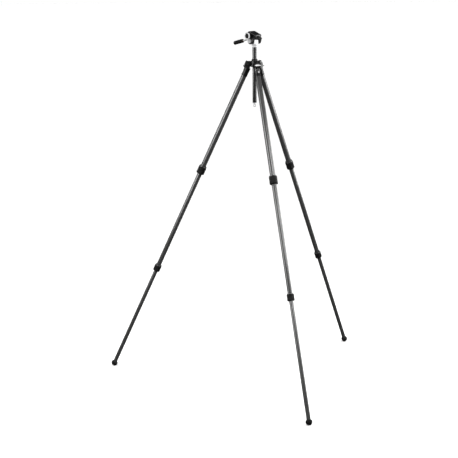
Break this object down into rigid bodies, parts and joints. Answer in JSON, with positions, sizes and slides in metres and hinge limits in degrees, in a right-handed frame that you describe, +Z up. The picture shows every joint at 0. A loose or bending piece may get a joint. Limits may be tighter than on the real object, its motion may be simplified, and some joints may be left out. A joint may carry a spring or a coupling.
{
  "type": "tripod with fluid head",
  "caption": "Folding camera tripod with telescopic twist-lock legs, a sliding centre column and a small pan-and-tilt fluid head with a quick-release plate.",
  "frame": {"origin": "centre of the bounding box, on the floor under the feet", "axes": "+Z up along the centre column; one leg points away to the right (azimuth 47.65 degrees from +X), one to the left (167.65) and one to the front (287.65)"},
  "size_m": [1.2288, 1.2592, 1.6776],
  "materials": {
    "carbon_tube": "dark woven carbon fibre under a clear coat",
    "column_tube": "grey-black woven carbon fibre under a clear coat",
    "black_casting": "fine black powder coat over cast magnesium",
    "black_plastic": "moulded black nylon, finely textured",
    "black_rubber": "matt black rubber",
    "satin_silver": "satin clear-anodised turned aluminium",
    "grey_metal": "grey anodised machined aluminium",
    "bright_steel": "polished steel",
    "white_nylon": "natural acetal"
  },
  "bodies": {
    "spider": {"spider": "black_casting", "column_bush": "white_nylon"},
    "column": {"center_column": "column_tube", "column_top_plug": "satin_silver", "column_end_cap": "satin_silver", "head_base": "satin_silver", "pan_drag_cartridge": "white_nylon"},
    "column_lock_collar": {"column_lock_collar": "black_plastic"},
    "ballast_loop": {"ballast_loop": "bright_steel"},
    "pan_lock_knob": {"pan_lock_knob": "black_plastic"},
    "pan_post": {"pan_post": "satin_silver", "tilt_drag_cartridge": "white_nylon"},
    "tilt_head": {"tilt_yoke": "black_casting", "tilt_axle": "bright_steel", "tilt_end_cap": "satin_silver", "handle_socket": "satin_silver", "clamp_base": "black_casting"},
    "tilt_lock_knob": {"tilt_lock_knob": "satin_silver"},
    "handle": {"handle_rod": "satin_silver", "handle_collar": "black_casting", "handle_grip": "black_rubber"},
    "clamp_knob": {"clamp_knob_core": "black_plastic", "clamp_knob_ring": "satin_silver"},
    "clamp_jaw": {"clamp_jaw": "grey_metal"},
    "release_plate": {"quick_release_plate": "grey_metal", "plate_pad": "black_rubber"},
    "camera_screw": {"camera_screw": "bright_steel"},
    "right_leg": {"right_leg_casting": "black_casting", "right_leg_pivot_pin": "bright_steel", "right_leg_upper_tube": "carbon_tube"},
    "right_leg_catch": {"right_leg_angle_catch": "bright_steel"},
    "right_leg_upper_lock": {"right_leg_upper_lock_nut": "grey_metal", "right_leg_upper_lock_grip": "black_rubber"},
    "right_leg_mid_section": {"right_leg_mid_tube": "carbon_tube"},
    "right_leg_lower_lock": {"right_leg_lower_lock_nut": "grey_metal", "right_leg_lower_lock_grip": "black_rubber"},
    "right_leg_lower_section": {"right_leg_lower_tube": "carbon_tube", "right_leg_foot": "black_rubber"},
    "left_leg": {"left_leg_casting": "black_casting", "left_leg_pivot_pin": "bright_steel", "left_leg_upper_tube": "carbon_tube"},
    "left_leg_catch": {"left_leg_angle_catch": "bright_steel"},
    "left_leg_upper_lock": {"left_leg_upper_lock_nut": "grey_metal", "left_leg_upper_lock_grip": "black_rubber"},
    "left_leg_mid_section": {"left_leg_mid_tube": "carbon_tube"},
    "left_leg_lower_lock": {"left_leg_lower_lock_nut": "grey_metal", "left_leg_lower_lock_grip": "black_rubber"},
    "left_leg_lower_section": {"left_leg_lower_tube": "carbon_tube", "left_leg_foot": "black_rubber"},
    "front_leg": {"front_leg_casting": "black_casting", "front_leg_pivot_pin": "bright_steel", "front_leg_upper_tube": "carbon_tube"},
    "front_leg_catch": {"front_leg_angle_catch": "bright_steel"},
    "front_leg_upper_lock": {"front_leg_upper_lock_nut": "grey_metal", "front_leg_upper_lock_grip": "black_rubber"},
    "front_leg_mid_section": {"front_leg_mid_tube": "carbon_tube"},
    "front_leg_lower_lock": {"front_leg_lower_lock_nut": "grey_metal", "front_leg_lower_lock_grip": "black_rubber"},
    "front_leg_lower_section": {"front_leg_lower_tube": "carbon_tube", "front_leg_foot": "black_rubber"}
  },
  "joints": [
    {"name": "column_slide", "type": "slide", "parent": "spider", "child": "column", "axis": [0, 0, 1], "range_m": [-0.052, 0.14]},
    {"name": "column_lock_turn", "type": "hinge", "parent": "spider", "child": "column_lock_collar", "pos_m": [0.10996, 0.07759, 1.5444], "axis": [0, 0, 1], "range_deg": [0, 90]},
    {"name": "ballast_loop_swing", "type": "hinge", "parent": "column", "child": "ballast_loop", "pos_m": [0.10996, 0.07759, 1.3356], "axis": [1, 0, 0], "range_deg": [-60, 60]},
    {"name": "pan", "type": "hinge", "parent": "column", "child": "pan_post", "pos_m": [0.10996, 0.07759, 1.618], "axis": [0, 0, 1], "continuous": true},
    {"name": "pan_lock_turn", "type": "hinge", "parent": "column", "child": "pan_lock_knob", "pos_m": [0.10996, 0.09759, 1.6117], "axis": [0, 1, 0], "range_deg": [0, 180]},
    {"name": "tilt", "type": "hinge", "parent": "pan_post", "child": "tilt_head", "pos_m": [0.10996, 0.07759, 1.632], "axis": [-0.7314, -0.682, 0], "range_deg": [-55, 45]},
    {"name": "tilt_lock_turn", "type": "hinge", "parent": "tilt_head", "child": "tilt_lock_knob", "pos_m": [0.08583, 0.05508, 1.632], "axis": [-0.7314, -0.682, 0], "range_deg": [0, 120]},
    {"name": "handle_twist", "type": "hinge", "parent": "tilt_head", "child": "handle", "pos_m": [0.08004, 0.07698, 1.64001], "axis": [-0.6645, 0.7126, -0.225], "range_deg": [0, 90]},
    {"name": "clamp_knob_turn", "type": "hinge", "parent": "tilt_head", "child": "clamp_knob", "pos_m": [0.07563, 0.04182, 1.65708], "axis": [-0.7314, -0.682, 0], "range_deg": [0, 540]},
    {"name": "clamp_jaw_slide", "type": "slide", "parent": "tilt_head", "child": "clamp_jaw", "axis": [-0.7314, -0.682, 0], "range_m": [0, 0.003]},
    {"name": "plate_slide", "type": "slide", "parent": "tilt_head", "child": "release_plate", "axis": [0.6409, -0.6872, -0.342], "range_m": [0, 0.05]},
    {"name": "camera_screw_lift", "type": "slide", "parent": "release_plate", "child": "camera_screw", "axis": [0.2333, -0.2501, 0.9397], "range_m": [0, 0.006]},
    {"name": "right_leg_fold", "type": "hinge", "parent": "spider", "child": "right_leg", "pos_m": [0.13017, 0.09976, 1.525], "axis": [0.739, -0.6737, 0], "range_deg": [-24.9, 0]},
    {"name": "right_leg_catch_pull", "type": "slide", "parent": "right_leg", "child": "right_leg_catch", "axis": [0.611, 0.6703, 0.421], "range_m": [0, 0.007], "stiffness_N_per_m": 250, "springref_m": -0.004},
    {"name": "right_leg_upper_lock_turn", "type": "hinge", "parent": "right_leg", "child": "right_leg_upper_lock", "pos_m": [0.28583, 0.27053, 1.01652], "axis": [-0.2836, -0.3112, 0.907], "range_deg": [0, 120]},
    {"name": "right_leg_mid_slide", "type": "slide", "parent": "right_leg", "child": "right_leg_mid_section", "axis": [-0.2836, -0.3112, 0.907], "range_m": [0, 0.495]},
    {"name": "right_leg_lower_lock_turn", "type": "hinge", "parent": "right_leg_mid_section", "child": "right_leg_lower_lock", "pos_m": [0.44084, 0.44058, 0.52082], "axis": [-0.2836, -0.3112, 0.907], "range_deg": [0, 120]},
    {"name": "right_leg_lower_slide", "type": "slide", "parent": "right_leg_mid_section", "child": "right_leg_lower_section", "axis": [-0.2836, -0.3112, 0.907], "range_m": [0, 0.525]},
    {"name": "left_leg_fold", "type": "hinge", "parent": "spider", "child": "left_leg", "pos_m": [0.08066, 0.084, 1.525], "axis": [0.2139, 0.9769, 0], "range_deg": [-24.9, 0]},
    {"name": "left_leg_catch_pull", "type": "slide", "parent": "left_leg", "child": "left_leg_catch", "axis": [-0.8861, 0.194, 0.421], "range_m": [0, 0.007], "stiffness_N_per_m": 250, "springref_m": -0.004},
    {"name": "left_leg_upper_lock_turn", "type": "hinge", "parent": "left_leg", "child": "left_leg_upper_lock", "pos_m": [-0.14506, 0.13342, 1.01652], "axis": [0.4113, -0.0901, 0.907], "range_deg": [0, 120]},
    {"name": "left_leg_mid_slide", "type": "slide", "parent": "left_leg", "child": "left_leg_mid_section", "axis": [0.4113, -0.0901, 0.907], "range_m": [0, 0.495]},
    {"name": "left_leg_lower_lock_turn", "type": "hinge", "parent": "left_leg_mid_section", "child": "left_leg_lower_lock", "pos_m": [-0.36984, 0.18264, 0.52082], "axis": [0.4113, -0.0901, 0.907], "range_deg": [0, 120]},
    {"name": "left_leg_lower_slide", "type": "slide", "parent": "left_leg_mid_section", "child": "left_leg_lower_section", "axis": [0.4113, -0.0901, 0.907], "range_m": [0, 0.525]},
    {"name": "front_leg_fold", "type": "hinge", "parent": "spider", "child": "front_leg", "pos_m": [0.11906, 0.049, 1.525], "axis": [-0.9529, -0.3032, 0], "range_deg": [-24.9, 0]},
    {"name": "front_leg_catch_pull", "type": "slide", "parent": "front_leg", "child": "front_leg_catch", "axis": [0.275, -0.8643, 0.421], "range_m": [0, 0.007], "stiffness_N_per_m": 250, "springref_m": -0.004},
    {"name": "front_leg_upper_lock_turn", "type": "hinge", "parent": "front_leg", "child": "front_leg_upper_lock", "pos_m": [0.18912, -0.17119, 1.01652], "axis": [-0.1277, 0.4012, 0.907], "range_deg": [0, 120]},
    {"name": "front_leg_mid_slide", "type": "slide", "parent": "front_leg", "child": "front_leg_mid_section", "axis": [-0.1277, 0.4012, 0.907], "range_m": [0, 0.495]},
    {"name": "front_leg_lower_lock_turn", "type": "hinge", "parent": "front_leg_mid_section", "child": "front_leg_lower_lock", "pos_m": [0.25888, -0.39045, 0.52082], "axis": [-0.1277, 0.4012, 0.907], "range_deg": [0, 120]},
    {"name": "front_leg_lower_slide", "type": "slide", "parent": "front_leg_mid_section", "child": "front_leg_lower_section", "axis": [-0.1277, 0.4012, 0.907], "range_m": [0, 0.525]}
  ],
  "couplings": [
    {"joint": "clamp_knob_turn", "follows": "clamp_jaw_slide", "rad_per_m": 3141.6}
  ]
}
